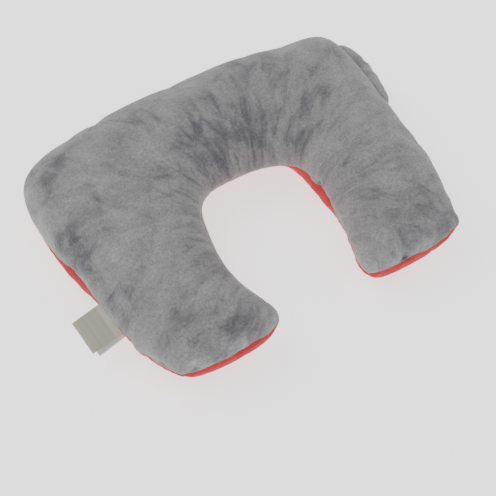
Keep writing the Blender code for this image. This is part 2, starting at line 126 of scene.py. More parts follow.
def studio():
    camera = bpy.data.objects.new("camera", bpy.data.cameras.new("camera"))
    bpy.context.scene.collection.objects.link(camera)
    level = math.cos(CAMERA_ELEVATION)
    away = (
        math.sin(CAMERA_AZIMUTH) * level,
        -math.cos(CAMERA_AZIMUTH) * level,
        math.sin(CAMERA_ELEVATION),
    )
    camera.location = AIM_AT + CAMERA_DISTANCE * Vector(away)
    aim(camera, AIM_AT)
    camera.data.lens = CAMERA_LENS
    camera.data.shift_x, camera.data.shift_y = CAMERA_SHIFT
    bpy.context.scene.camera = camera

    bpy.ops.mesh.primitive_plane_add(size=FLOOR_SIZE, location=(0.0, 0.0, -FLOOR_DROP))
    floor = bpy.context.object
    floor.name = "floor"
    paint = bpy.data.materials.new("pale_floor")
    paint.use_nodes = True
    shader = paint.node_tree.nodes["Principled BSDF"]
    shader.inputs["Base Color"].default_value = (0.86, 0.86, 0.86, 1.0)
    shader.inputs["Roughness"].default_value = 0.9
    shader.inputs["Emission Color"].default_value = (1.0, 1.0, 1.0, 1.0)
    shader.inputs["Emission Strength"].default_value = FLOOR_GLOW
    floor.data.materials.append(paint)

    world = bpy.data.worlds.new("soft_room")
    world.use_nodes = True
    background = world.node_tree.nodes["Background"]
    background.inputs["Color"].default_value = (1.0, 1.0, 1.0, 1.0)
    background.inputs["Strength"].default_value = WORLD_GLOW
    bpy.context.scene.world = world
    for name, place, size, power in LIGHTS:
        light = bpy.data.objects.new(name, bpy.data.lights.new(name, "AREA"))
        bpy.context.scene.collection.objects.link(light)
        light.data.size = size
        light.data.energy = power
        light.location = place
        aim(light, LIGHT_AIM)


# ---------------------------------------------------------------- materials
class Paint:
    """A node material with a Principled shader, and short ways to add to it."""

    def __init__(self, name, roughness, metallic=0.0, **sockets):
        self.material = bpy.data.materials.new(name)
        self.material.use_nodes = True
        self.tree = self.material.node_tree
        self.shader = self.tree.nodes["Principled BSDF"]
        self.shader.inputs["Roughness"].default_value = roughness
        self.shader.inputs["Metallic"].default_value = metallic
        for socket, value in sockets.items():
            self.shader.inputs[socket.replace("_", " ")].default_value = value
        self.place = self.node("ShaderNodeTexCoord").outputs["Object"]

    def node(self, kind, **settings):
        made = self.tree.nodes.new(kind)
        for key, value in settings.items():
            setattr(made, key, value)
        return made

    def put(self, made, **values):
        """Sets or links inputs by name."""
        for key, value in values.items():
            socket = made.inputs[key.replace("_", " ")]
            if isinstance(value, bpy.types.NodeSocket):
                self.tree.links.new(value, socket)
            else:
                socket.default_value = value
        return made

    def stretched(self, scale, turn=(0.0, 0.0, 0.0), place=None):
        mapping = self.node("ShaderNodeMapping")
        self.put(mapping, Vector=place or self.place, Scale=scale, Rotation=turn)
        return mapping.outputs["Vector"]

    def noise(self, scale, detail=3.0, roughness=0.5, distortion=0.0, place=None):
        made = self.node("ShaderNodeTexNoise")
        self.put(
            made, Vector=place or self.place, Scale=scale, Detail=detail, Roughness=roughness,
            Distortion=distortion,
        )
        return made.outputs["Fac"]

    def ramp(self, value, *stops, smooth=True):
        made = self.node("ShaderNodeValToRGB")
        made.color_ramp.interpolation = "EASE" if smooth else "LINEAR"
        elements = made.color_ramp.elements
        while len(elements) < len(stops):
            elements.new(0.5)
        for element, (position, colour) in zip(elements, stops):
            element.position = position
            grey = isinstance(colour, (int, float))
            element.color = (colour, colour, colour, 1.0) if grey else (*colour, 1.0)
        self.tree.links.new(value, made.inputs["Fac"])
        return made.outputs["Color"]

    def maths(self, operation, first, second):
        made = self.node("ShaderNodeMath", operation=operation)
        for socket, value in zip(made.inputs, (first, second)):
            if isinstance(value, bpy.types.NodeSocket):
                self.tree.links.new(value, socket)
            else:
                socket.default_value = value
        return made.outputs[0]

    def mix(self, share, first, second, blend="MIX"):
        made = self.node("ShaderNodeMix", data_type="RGBA", blend_type=blend)
        sockets = (made.inputs[0], made.inputs[6], made.inputs[7])
        for socket, value in zip(sockets, (share, first, second)):
            if isinstance(value, bpy.types.NodeSocket):
                self.tree.links.new(value, socket)
            elif isinstance(value, tuple):
                socket.default_value = (*value, 1.0)
            else:
                socket.default_value = value
        return made.outputs[2]

    def colour(self, value):
        if isinstance(value, tuple):
            self.shader.inputs["Base Color"].default_value = (*value, 1.0)
        else:
            self.tree.links.new(value, self.shader.inputs["Base Color"])

    def bump(self, *layers):
        """Layers of (height, distance), joined one on the other."""
        normal = None
        for height, distance in layers:
            made = self.node("ShaderNodeBump")
            self.put(made, Height=height, Distance=distance)
            if normal:
                self.tree.links.new(normal, made.inputs["Normal"])
            normal = made.outputs["Normal"]
        self.tree.links.new(normal, self.shader.inputs["Normal"])


# Patches of painted shade on the plush, at the bridge's inner side, the arm ends and the left arm:
# centre and reach of each patch.
SHADE_PATCHES = (
    ((0.042, -0.052, 0.092), 0.085),
    ((-0.008, -0.062, 0.080), 0.055),
    ((0.020, -0.076, 0.074), 0.050),
    ((0.158, -0.250, 0.055), 0.062),
    ((0.108, -0.258, 0.048), 0.045),
    ((-0.108, -0.262, 0.046), 0.045),
    ((-0.080, -0.250, 0.060), 0.050),
    ((-0.186, -0.165, 0.063), 0.050),
    ((-0.184, -0.082, 0.074), 0.048),
    ((-0.170, 0.008, 0.074), 0.045),
    ((-0.070, -0.180, 0.080), 0.045),
)
SHADE_PATCH_DEPTH = 0.150  # how much darker the painted shade makes the middle of a patch

# The strokes in the pile fan out from here in plan, which is in the neck opening.
STROKE_CENTRE = (0.015, -0.150)


def plush():
    """Short brushed pile: patches and strokes lie lighter or darker, with painted shade in listed
    patches and fine grain over them.
    """
    paint = Paint("grey_plush", 0.92, Sheen_Weight=0.42, Sheen_Roughness=0.42)
    paint.shader.inputs["Sheen Tint"].default_value = (0.88, 0.88, 0.90, 1.0)
    paint.shader.inputs["Specular IOR Level"].default_value = 0.15
    # Painted shade: each listed patch darkens the plush towards its middle.
    brush_marks_and_shade = None
    for centre, reach in SHADE_PATCHES:
        away = paint.put(paint.node("ShaderNodeVectorMath", operation="DISTANCE"), Vector=paint.place)
        away.inputs[1].default_value = centre
        near = paint.maths("SUBTRACT", 1.0, paint.maths("DIVIDE", away.outputs["Value"], reach))
        brush_marks_and_shade = near if brush_marks_and_shade is None else paint.maths("MAXIMUM", brush_marks_and_shade, near)
    brush_marks_and_shade = paint.maths("MAXIMUM", brush_marks_and_shade, 0.0)
    axes = paint.put(paint.node("ShaderNodeSeparateXYZ"), Vector=paint.place).outputs
    across = paint.maths("SUBTRACT", axes["X"], STROKE_CENTRE[0])
    along = paint.maths("SUBTRACT", axes["Y"], STROKE_CENTRE[1])
    angle = paint.maths("ARCTAN2", along, across)
    across_square = paint.maths("MULTIPLY", across, across)
    along_square = paint.maths("MULTIPLY", along, along)
    square = paint.maths("ADD", across_square, along_square)
    fan = paint.node("ShaderNodeCombineXYZ")
    paint.put(
        fan,
        X=paint.maths("MULTIPLY", angle, 11.0),
        Y=paint.maths("MULTIPLY", paint.maths("SQRT", square, 0.0), 30.0),
        Z=paint.maths("MULTIPLY", axes["Z"], 30.0),
    )
    broad = paint.noise(11.0, 4.0, 0.62, 0.8)
    strokes = paint.noise(1.0, 3.0, 0.55, 0.6, fan.outputs["Vector"])
    tufts = paint.noise(330.0, 3.0, 0.7)
    hairs = paint.noise(720.0, 2.0, 0.6)
    cells = paint.node("ShaderNodeTexVoronoi", feature="DISTANCE_TO_EDGE")
    paint.put(cells, Vector=paint.place, Scale=360.0)
    share = paint.maths(
        "ADD", paint.maths("MULTIPLY", broad, 0.45), paint.maths("MULTIPLY", strokes, 0.55)
    )
    # The painted shade is taken off the tone share here, before the greys are picked.
    patch = paint.ramp(
        paint.maths("SUBTRACT", share, paint.maths("MULTIPLY", brush_marks_and_shade, SHADE_PATCH_DEPTH)),
        (0.29, (0.128, 0.128, 0.139)),
        (0.37, (0.176, 0.175, 0.183)),
        (0.455, (0.256, 0.254, 0.257)),
        (0.62, (0.335, 0.333, 0.333)),
        smooth=False,
    )
    grain = paint.ramp(
        paint.maths("ADD", paint.maths("MULTIPLY", tufts, 0.6), paint.maths("MULTIPLY", hairs, 0.4)),
        (0.34, 0.78),
        (0.66, 1.20),
    )
    paint.colour(paint.mix(1.0, patch, grain, "MULTIPLY"))
    paint.bump((strokes, 0.0010), (tufts, 0.0013), (cells.outputs["Distance"], 0.0009), (hairs, 0.0005))
    return paint.material


def knit():
    """Fine stretch jersey."""
    paint = Paint("red_knit", 0.75, Sheen_Weight=0.15, Sheen_Roughness=0.4)
    paint.shader.inputs["Sheen Tint"].default_value = (1.0, 0.45, 0.42, 1.0)
    paint.shader.inputs["Specular IOR Level"].default_value = 0.2
    wales = paint.node("ShaderNodeTexWave", wave_type="BANDS", bands_direction="X")
    paint.put(wales, Vector=paint.place, Scale=260.0, Distortion=1.2)
    loops = paint.noise(700.0, 2.0, 0.6, 0.0, paint.stretched((1.0, 0.45, 1.0)))
    broad = paint.noise(14.0, 3.0)
    base = paint.ramp(broad, (0.3, (0.47, 0.022, 0.028)), (0.7, (0.62, 0.042, 0.044)))
    paint.colour(paint.mix(0.25, base, paint.ramp(loops, (0.3, 0.45), (0.7, 1.0)), "MULTIPLY"))
    paint.bump((wales.outputs["Fac"], 0.0003), (loops, 0.0004))
    return paint.material


def film():
    """Calendered vinyl with fine creases."""
    paint = Paint("bladder_film", 0.38)
    creases = paint.noise(46.0, 5.0, 0.65, 1.6)
    dust = paint.noise(900.0, 2.0)
    paint.colour(paint.ramp(creases, (0.3, (0.060, 0.070, 0.100)), (0.7, (0.095, 0.108, 0.150))))
    paint.bump((creases, 0.003), (dust, 0.0001))
    return paint.material


def vinyl():
    """Soft milky moulding vinyl."""
    paint = Paint("valve_vinyl", 0.34)
    cloudy = paint.noise(120.0, 4.0, 0.6, 0.8)
    scuffs = paint.noise(900.0, 3.0, 0.7, 0.0, paint.stretched((1.0, 0.25, 1.0)))
    paint.colour(paint.ramp(cloudy, (0.3, (0.66, 0.67, 0.69)), (0.7, (0.80, 0.81, 0.82))))
    paint.bump((cloudy, 0.0002), (scuffs, 0.00005))
    return paint.material


def tape():
    """Woven polyester tape with a fine rib along it."""
    paint = Paint("zip_tape", 0.85, Sheen_Weight=0.2)
    ribs = paint.node("ShaderNodeTexWave", wave_type="BANDS", bands_direction="Z")
    paint.put(ribs, Vector=paint.place, Scale=420.0)
    picks = paint.node("ShaderNodeTexWave", wave_type="BANDS", bands_direction="DIAGONAL")
    paint.put(picks, Vector=paint.place, Scale=700.0, Distortion=0.6)
    weave = paint.maths("MULTIPLY", ribs.outputs["Fac"], picks.outputs["Fac"])
    paint.colour(paint.ramp(weave, (0.0, (0.105, 0.105, 0.112)), (1.0, (0.215, 0.214, 0.222))))
    paint.bump((weave, 0.0002))
    return paint.material


def teeth():
    """Moulded nylon, polished where the slider runs over it."""
    paint = Paint("zip_teeth", 0.36)
    rubbed = paint.noise(260.0, 3.0, 0.6)
    paint.colour(paint.ramp(rubbed, (0.35, (0.110, 0.110, 0.118)), (0.70, (0.200, 0.200, 0.208))))
    paint.bump((rubbed, 0.0001))
    return paint.material


def metal():
    """Plated zinc with brush marks and darker worn spots."""
    paint = Paint("zip_metal", 0.28, 1.0)
    brush_marks_and_shade = paint.noise(1400.0, 3.0, 0.6, 0.0, paint.stretched((0.06, 1.0, 1.0)))
    worn = paint.noise(180.0, 4.0, 0.65)
    shade = paint.ramp(worn, (0.35, (0.33, 0.33, 0.34)), (0.60, (0.56, 0.56, 0.575)))
    paint.colour(paint.mix(0.35, shade, paint.ramp(brush_marks_and_shade, (0.3, 0.6), (0.7, 1.0)), "MULTIPLY"))
    paint.bump((brush_marks_and_shade, 0.00004))
    return paint.material


def ribbon(name, dark, light, strip):
    """Satin ribbon, whose local X runs away from the seam: fine ribs, woven bars and a strip."""
    paint = Paint(name, 0.42, Sheen_Weight=0.3)
    paint.shader.inputs["Anisotropic"].default_value = 0.5
    axes = paint.put(paint.node("ShaderNodeSeparateXYZ"), Vector=paint.place).outputs
    ribs = paint.node("ShaderNodeTexWave", wave_type="BANDS", bands_direction="X")
    paint.put(ribs, Vector=paint.place, Scale=640.0, Distortion=0.3)
    bars = paint.noise(1.0, 2.0, 0.5, 0.0, paint.stretched((240.0, 3.0, 1.0)))
    base = paint.ramp(bars, (0.34, dark), (0.66, light))
    near = paint.ramp(paint.maths("MULTIPLY", axes["X"], 60.0), (0.50, 1.0), (0.66, 0.0))
    paint.colour(paint.mix(near, base, strip))
    paint.bump((bars, 0.0004), (ribs.outputs["Fac"], 0.00012))
    return paint.material


def thread():
    """Twisted sewing thread."""
    paint = Paint("stitch_thread", 0.6, Sheen_Weight=0.3)
    twist = paint.node("ShaderNodeTexWave", wave_type="BANDS", bands_direction="DIAGONAL")
    paint.put(twist, Vector=paint.place, Scale=1500.0)
    shade = paint.ramp(twist.outputs["Fac"], (0.2, (0.22, 0.22, 0.225)), (0.8, (0.40, 0.40, 0.405)))
    paint.colour(shade)
    paint.bump((twist.outputs["Fac"], 0.0001))
    return paint.material


# ---------------------------------------------------------------- the cover
TIP_DRAW = 0.04  # how far the ring at an arm's tip draws in towards its middle
UNDER_NEAR = 0.10  # the underside's second row, as a share of the rib from its seam
UNDER_FOLLOW = 0.6  # how much of the tuck that row follows
DROP_FULLNESS = 1.15  # the underside reaches the floor before the top reaches its full rise


def ring_cage():
    """A closed coarse cage of the whole cover, with the top faces in slot 0 and the rest in 1."""
    ribs = list(LEFT[::-1]) + [MIDDLE] + list(RIGHT)
    points, rings = [], []
    for number, (ox, oy, ix, iy, bow, rise, tuck_out, tuck_in) in enumerate(ribs):
        outer, inner = Vector((ox, oy)), Vector((ix, iy))
        tip = number in (0, len(ribs) - 1)

        def put(place, height):
            if tip:
                place += (0.5 - place) * TIP_DRAW if 0.0 < place < 1.0 else 0.0
            plan = outer.lerp(inner, place)
            plan.y -= bow * 4 * place * (1 - place)
            points.append((plan.x, plan.y, SEAM_Z + height))
            return len(points) - 1

        top = [put(place, CREST * share * rise) for place, share in zip(ROW_PLACE, TOP_SHARE)]
        under = top
        if not tip:
            places = list(ROW_PLACE)
            places[1:3] = tuck_out, UNDER_NEAR + UNDER_FOLLOW * tuck_out
            places[6:8] = 1.0 - UNDER_NEAR - UNDER_FOLLOW * tuck_in, 1.0 - tuck_in
            drop = min(1.0, rise * DROP_FULLNESS)
            heights = [-SEAM_Z * share * drop for share in BOTTOM_SHARE]
            under = [top[0]] + [put(*at) for at in list(zip(places, heights))[1:-1]] + [top[-1]]
        rings.append((top, under))
    faces, slots = [], []
    for near, far in zip(rings, rings[1:]):
        for side in (0, 1):
            for row in range(len(ROW_PLACE) - 1):
                face = (near[side][row], near[side][row + 1], far[side][row + 1], far[side][row])
                faces.append(face if side == 0 else face[::-1])
                slots.append(side)
    mesh = bpy.data.meshes.new("cover_cage")
    mesh.from_pydata(points, [], faces)
    mesh.polygons.foreach_set("material_index", slots)
    seam = {index for top, under in rings for index in (top[0], top[-1])}
    return mesh, sorted(seam | set(rings[0][0]) | set(rings[-1][0]))


def subdivided(made, levels):
    """The same object with that many levels of smoothing made real."""
    rounding = made.modifiers.new("rounding", "SUBSURF")
    rounding.levels = levels
    rounding.render_levels = levels
    bpy.context.view_layer.update()
    mesh = bpy.data.meshes.new_from_object(made.evaluated_get(bpy.context.evaluated_depsgraph_get()))
    made.modifiers.remove(rounding)
    made.data = mesh
    return made


def coordinates(mesh):
    points = np.empty(len(mesh.vertices) * 3)
    mesh.vertices.foreach_get("co", points)
    return points.reshape(-1, 3)


def set_coordinates(mesh, points):
    mesh.vertices.foreach_set("co", np.ascontiguousarray(points).ravel())
    mesh.update()


def ease(value, low, high):
    """0 below low, 1 above high, and smooth between."""
    share = np.clip((value - low) / (high - low), 0.0, 1.0)
    return share * share * (3 - 2 * share)


# The cloth run that blows the cover up: its settings, its length, and the most that a point moves.
AIR = {
    "quality": 5,
    "mass": 0.25,
    "tension_stiffness": 12.0,
    "compression_stiffness": 12.0,
    "shear_stiffness": 4.0,
    "bending_stiffness": 0.3,
    "use_pressure": True,
    "uniform_pressure_force": 1.6,
    "shrink_min": -0.006,
    "vertex_group_mass": "seam",
}
AIR_FRAMES = 22
AIR_MOST_MOVE = 0.009


def inflate(body):
    """Blows the cover up a little with slack cloth, held at the seam, so that it puckers there."""
    scene = bpy.context.scene
    before = coordinates(body.data)
    cloth = body.modifiers.new("air", "CLOTH")
    for name, value in AIR.items():
        setattr(cloth.settings, name, value)
    cloth.settings.effector_weights.gravity = 0.0
    cloth.collision_settings.use_collision = False
    cloth.point_cache.frame_start = 1
    cloth.point_cache.frame_end = AIR_FRAMES
    for number in range(1, AIR_FRAMES + 1):
        scene.frame_set(number)
    evaluated = body.evaluated_get(bpy.context.evaluated_depsgraph_get())
    after = coordinates(evaluated.data)
    body.modifiers.remove(cloth)
    scene.frame_set(1)
    move = after - before
    length = np.linalg.norm(move, axis=1, keepdims=True)
    move *= np.minimum(1.0, AIR_MOST_MOVE / np.maximum(length, 1e-9))
    points = before + move
    points[:, 2] = np.maximum(points[:, 2], 0.0)
    set_coordinates(body.data, points)


# Where the cover is gathered most along the seam: plan position, reach and strength.
GATHERS = (
    ((0.080, -0.138), 0.040, 1.0),
    ((0.063, -0.212), 0.026, 1.0),
    ((0.190, -0.255), 0.034, 1.0),
    ((0.115, -0.262), 0.050, 0.7),
    ((-0.105, -0.262), 0.060, 0.6),
    ((-0.182, -0.215), 0.045, 1.0),
    ((-0.203, -0.085), 0.032, 0.6),
)
# Deep single tucks: plan position, width, length and depth.
TUCKS = (
    ((0.082, -0.131), 0.0040, 0.016, 0.0060),
    ((0.081, -0.144), 0.0034, 0.012, 0.0048),
    ((0.062, -0.206), 0.0036, 0.018, 0.0040),
    ((0.060, -0.220), 0.0036, 0.016, 0.0040),
    ((0.108, -0.262), 0.0060, 0.030, 0.0040),
    ((0.196, -0.238), 0.0050, 0.024, 0.0040),
    ((-0.176, -0.236), 0.0045, 0.018, 0.0040),
    ((-0.150, -0.260), 0.0050, 0.022, 0.0040),
    ((-0.192, -0.192), 0.0040, 0.016, 0.0034),
)
# Long soft hollows in the top panel: plan points, depth and width.
HOLLOWS = (
    (
        ((-0.200, -0.040), (-0.189, -0.072), (-0.186, -0.105), (-0.189, -0.143), (-0.187, -0.178)),
        0.0036,
        0.0070,
    ),
    (((-0.182, -0.070), (-0.173, -0.098), (-0.172, -0.130)), 0.0016, 0.0060),
    (((0.112, -0.252), (0.120, -0.222), (0.126, -0.205)), 0.0028, 0.0100),
    (((0.168, -0.250), (0.172, -0.225), (0.178, -0.200)), 0.0026, 0.0090),
    (((0.203, -0.190), (0.196, -0.215), (0.180, -0.232)), 0.0020, 0.0080),
    (((-0.160, -0.246), (-0.148, -0.222), (-0.140, -0.206)), 0.0026, 0.0085),
    (((-0.080, -0.248), (-0.084, -0.226), (-0.092, -0.205)), 0.0018, 0.0100),
    (((0.030, -0.066), (0.018, -0.030), (-0.008, 0.000)), 0.0014, 0.0090),
    (((-0.020, -0.070), (-0.052, -0.040), (-0.090, -0.020)), 0.0014, 0.0090),
)
# Where the seam is pulled off its line: plan position, reach, and the move outward and up.
PULLS = (
    ((-0.205, -0.098), 0.017, -0.0050, 0.0050),
    ((-0.197, -0.150), 0.026, 0.0000, -0.0040),
    ((0.083, -0.140), 0.020, -0.0020, 0.0025),
)
# How far the whole seam wanders outward and up, and how far off it the cloth moves with it.
WANDER_OUT = 0.0024
WANDER_UP = 0.0030
SEAM_REACH = 0.008
# How deep the seam sinks into the padding, and how far that reaches.
SEAM_SINK = 0.0018
SEAM_SINK_REACH = 0.0035
PLEAT_SEED = 11
PLEAT_DEPTH = 0.0011  # each small fold's depth is a multiple of this
HEM = 0.0017  # how far each panel's edge is turned in

# The zip's opening: half its height, where its ends start and finish closing, how far off the seam
# the panels are drawn back, and how far in from BACK_Y their edges lie.
SLOT_HALF = 0.0053
SLOT_FULL_X = 0.0780
SLOT_END_X = 0.0835
SLOT_REACH = 0.022
SLOT_SINK = 0.0012

# The valve's opening: its radius, that of the quads it takes away, that of the flat round it, and
# that of all the cloth it moves.
PORT_R = 0.0076
PORT_CUT_R = 0.0050
PORT_FLAT_R = 0.009
PORT_OUTER_R = 0.018


def quads_of(mesh):
    """The vertices of each face of an all-quad mesh, and the slot of each face."""
    corners = np.empty(len(mesh.loops), dtype=np.int64)
    mesh.loops.foreach_get("vertex_index", corners)
    slots = np.empty(len(mesh.polygons), dtype=np.int32)
    mesh.polygons.foreach_get("material_index", slots)
    return corners.reshape(-1, 4), slots


def normals_of(mesh):
    normals = np.empty(len(mesh.vertices) * 3)
    mesh.vertex_normals.foreach_get("vector", normals)
    return normals.reshape(-1, 3)


def seam_line(quads, slots, points):
    """The seam's vertices in order round the cover, and the distance along it at each."""
    top = {tuple(sorted(edge)) for quad in quads[slots == 0] for edge in zip(quad, np.roll(quad, -1))}
    low = {tuple(sorted(edge)) for quad in quads[slots == 1] for edge in zip(quad, np.roll(quad, -1))}
    beside = {}
    for first, second in sorted(top & low):
        beside.setdefault(first, []).append(second)
        beside.setdefault(second, []).append(first)
    start = min(beside)
    order, last, here = [start], None, start
    while True:
        ahead = [other for other in beside[here] if other != last][0]
        if ahead == start:
            break
        order.append(ahead)
        last, here = here, ahead
    steps = np.linalg.norm(np.diff(points[order], axis=0, append=points[order[:1]]), axis=1)
    return np.array(order), np.concatenate([[0.0], np.cumsum(steps)[:-1]]), steps.sum()


def nearest_on(line_points, points):
    """For each point, the number of the nearest point on the line, and how far off that is."""
    tree = kdtree.KDTree(len(line_points))
    for number, point in enumerate(line_points):
        tree.insert(point, number)
    tree.balance()
    found = [tree.find(point) for point in points]
    return np.array([hit[1] for hit in found]), np.array([hit[2] for hit in found])


def plan_distance(points, path):
    """The distance in plan from each point to the line through the path."""
    best = np.full(len(points), 1e3)
    for first, second in zip(path, path[1:]):
        first, second = np.array(first), np.array(second)
        span = second - first
        share = np.clip((points[:, :2] - first) @ span / (span @ span), 0.0, 1.0)
        away = np.linalg.norm(points[:, :2] - first - share[:, None] * span, axis=1)
        best = np.minimum(best, away)
    return best


def around(offset, length):
    """A distance along a closed line, taken the short way round."""
    return (offset + length / 2) % length - length / 2


class Skin:
    """The cover's fine surface, and where each of its points lies from the seam."""

    def __init__(self, mesh):
        self.quads, self.slots = quads_of(mesh)
        self.points = coordinates(mesh)
        self.normals = normals_of(mesh)
        self.order, self.along, self.length = seam_line(self.quads, self.slots, self.points)
        self.near, self.away = nearest_on(self.points[self.order], self.points)
        self.place = self.along[self.near]
        self.upper = np.zeros(len(self.points), dtype=bool)
        self.upper[self.quads[self.slots == 0]] = True
        self.upper[self.order] = True

    def gather(self, plan):
        """How strongly the cloth is gathered at places along the seam."""
        strength = np.full(len(plan), 0.30)
        for centre, reach, more in GATHERS:
            strength += more * np.exp(-((np.linalg.norm(plan - centre, axis=1) / reach) ** 2))
        return strength

    def wander(self):
        """Moves the seam off its smooth line, and what is near it along."""
        seam = self.points[self.order]
        strength = self.gather(seam[:, :2])
        outward = self.normals[self.order] * (1.0, 1.0, 0.0)
        outward /= np.maximum(np.linalg.norm(outward, axis=1, keepdims=True), 1e-6)
        turns = [noise.noise(Vector((point[0] * 70, point[1] * 70, 3.0))) for point in seam]
        lifts = [noise.noise(Vector((point[0] * 60, point[1] * 60, 9.0))) for point in seam]
        move = outward * (np.array(turns) * strength * WANDER_OUT)[:, None]
        move[:, 2] += np.array(lifts) * strength * WANDER_UP
        for centre, reach, out, lift in PULLS:
            share = np.exp(-((np.linalg.norm(seam[:, :2] - centre, axis=1) / reach) ** 2))
            move += outward * (share * out)[:, None]
            move[:, 2] += share * lift
        fade = np.exp(-((self.away / SEAM_REACH) ** 2))
        self.points += move[self.near] * fade[:, None]

    def pleat(self):
        """Presses small folds into the cloth, at right angles to the seam."""
        random = np.random.default_rng(PLEAT_SEED)
        depth = np.zeros(len(self.points))
        seam = self.points[self.order]
        strength = self.gather(seam[:, :2])
        at = 0.0
        while at < self.length - 0.006:
            here = strength[np.searchsorted(self.along, at) - 1]
            width = random.uniform(0.0022, 0.0040)
            reach = random.uniform(0.010, 0.026) * (0.6 + 0.5 * here)
            press = random.uniform(0.5, 1.7) * here * PLEAT_DEPTH
            lean = random.uniform(-0.35, 0.35)
            for side in (True, False):
                shift = around(self.place - at - lean * self.away, self.length)
                fold = np.exp(-((shift / width) ** 2)) * (self.upper == side)
                depth += (press if side else press * 0.7) * fold * self.fade(reach)
            at += random.uniform(0.006, 0.014)
        for centre, width, reach, press in TUCKS:
            at = self.along[np.argmin(np.linalg.norm(seam[:, :2] - centre, axis=1))]
            shift = around(self.place - at, self.length)
            depth += press * np.exp(-((shift / width) ** 2)) * self.fade(reach) * self.upper
        for path, press, width in HOLLOWS:
            depth += press * np.exp(-((plan_distance(self.points, path) / width) ** 2)) * self.upper
        depth += SEAM_SINK * np.exp(-((self.away / SEAM_SINK_REACH) ** 2))
        self.points -= self.normals * depth[:, None]

    def fade(self, reach):
        """0 at the seam, full a little way off, and 0 again past the reach."""
        return ease(self.away, 0.0, SEAM_SINK_REACH) * (1.0 - ease(self.away, 0.25 * reach, reach))

    def clear_valve(self):
        """Flattens the side round the valve, and gives the quads that its opening takes away."""
        spot = self.points[:, 1:] - (VALVE.y, VALVE.z)
        radius = np.linalg.norm(spot, axis=1)
        side = (self.points[:, 0] > 0.15) & (radius < PORT_OUTER_R)
        most = VALVE.x + 0.0004 + 0.5 * np.maximum(radius - PORT_FLAT_R, 0.0)
        self.points[:, 0] = np.where(side, np.minimum(self.points[:, 0], most), self.points[:, 0])
        inside = side & (radius < PORT_CUT_R)
        gone = inside[self.quads].any(axis=1)
        spread = (PORT_OUTER_R - PORT_R) * (radius - PORT_CUT_R) / (PORT_OUTER_R - PORT_CUT_R)
        pushed = PORT_R + spread
        rim = np.zeros(len(self.points), dtype=bool)
        rim[self.quads[gone]] = True
        kept = np.zeros(len(self.points), dtype=bool)
        kept[self.quads[~gone]] = True
        rim &= kept
        target = np.where(rim, PORT_R, np.maximum(pushed, PORT_R))
        scale = np.where(side | rim, target / np.maximum(radius, 1e-6), 1.0)
        self.points[:, 1:] = (VALVE.y, VALVE.z) + spot * scale[:, None]
        return gone

    def opened(self, up):
        """The points of one panel, with its edge drawn back from the zip."""
        points = self.points.copy()
        seam = self.points[self.order][self.near]
        share = (1.0 - ease(np.abs(seam[:, 0]), SLOT_FULL_X, SLOT_END_X)) * (seam[:, 1] > 0.0)
        sign = 1.0 if up else -1.0
        lift = np.maximum(0.0, 1.0 - self.away / SLOT_REACH) ** 1.5
        level = (SEAM_Z - seam[:, 2] + sign * SLOT_HALF) * share * lift
        points[:, 2] += level
        near_seam = np.exp(-((self.away / SEAM_REACH) ** 2))
        points[:, 1] += (BACK_Y - SLOT_SINK - seam[:, 1]) * share * near_seam
        points[:, 2] = np.maximum(points[:, 2], 0.0001)
        return points

    def panel(self, slot, name, gone):
        """One panel as an object, with its edges turned in."""
        up = slot == 0
        points = self.opened(up)
        quads = self.quads[(self.slots == slot) & ~gone]
        ends = np.concatenate([quads[:, [k, (k + 1) % 4]] for k in range(4)])
        key = np.sort(ends, axis=1)
        _, index, uses = np.unique(key, axis=0, return_inverse=True, return_counts=True)
        edges = ends[uses[index.reshape(-1)] == 1]
        rim = np.unique(edges)
        inward = points[rim] - self.normals[rim] * HEM
        inward[:, 2] += 0.0004 if up else -0.0004
        copy = np.full(len(points), -1)
        copy[rim] = len(points) + np.arange(len(rim))
        points = np.concatenate([points, inward])
        hem = np.stack([edges[:, 1], edges[:, 0], copy[edges[:, 0]], copy[edges[:, 1]]], axis=1)
        quads = np.concatenate([quads, hem])
        used, index = np.unique(quads, return_inverse=True)
        mesh = bpy.data.meshes.new(name)
        mesh.from_pydata(points[used].tolist(), [], index.reshape(quads.shape).tolist())
        mesh.shade_smooth()
        made = bpy.data.objects.new(name, mesh)
        bpy.context.scene.collection.objects.link(made)
        return made


def body_shape():
    """The whole cover, blown up, with its fine surface smooth."""
    mesh, seam = ring_cage()
    body = bpy.data.objects.new("cover_body", mesh)
    bpy.context.scene.collection.objects.link(body)
    body.vertex_groups.new(name="seam").add(seam, 1.0, "REPLACE")
    subdivided(body, 3)
    inflate(body)
    return subdivided(body, 1)


def finished(made, body, node, finish):
    """Makes an object a piece of the model that stands for a CAD node."""
    made.data.materials.clear()
    made.data.materials.append(finish)
    made.data.shade_smooth()
    if body:
        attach(made, body)
    if node:
        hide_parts(node)
    return made


def cover(body, grey):
    """The plush panel and the knit panel, cut from the body's fine surface."""
    skin = Skin(body.data)
    skin.wander()
    skin.pleat()
    gone = skin.clear_valve()
    plush_panel = skin.panel(0, "plush_panel", gone)
    knit_panel = skin.panel(1, "knit_panel", gone)
    finished(plush_panel, "pillow", "cover_top_panel", grey)
    finished(knit_panel, "pillow", "cover_bottom_panel", knit())
    return plush_panel, knit_panel


BLADDER_INSET = 0.0115  # how far the bladder lies inside the cover


def bladder():
    """The air bladder: the cover's shape drawn in, as two sheets that meet at the weld."""
    mesh, _ = ring_cage()
    body = bpy.data.objects.new("bladder_body", mesh)
    bpy.context.scene.collection.objects.link(body)
    subdivided(body, 2)
    quads, slots = quads_of(body.data)
    points = coordinates(body.data) - normals_of(body.data) * BLADDER_INSET
    finish = film()
    for slot, name, node in (
        (0, "bladder_upper", "bladder_top_sheet"),
        (1, "bladder_lower", "bladder_bottom_sheet"),
    ):
        used, index = np.unique(quads[slots == slot], return_inverse=True)
        half = bpy.data.meshes.new(name)
        half.from_pydata(points[used].tolist(), [], index.reshape(-1, 4).tolist())
        made = bpy.data.objects.new(name, half)
        bpy.context.scene.collection.objects.link(made)
        finished(made, "pillow", node, finish)
    bpy.data.objects.remove(body)


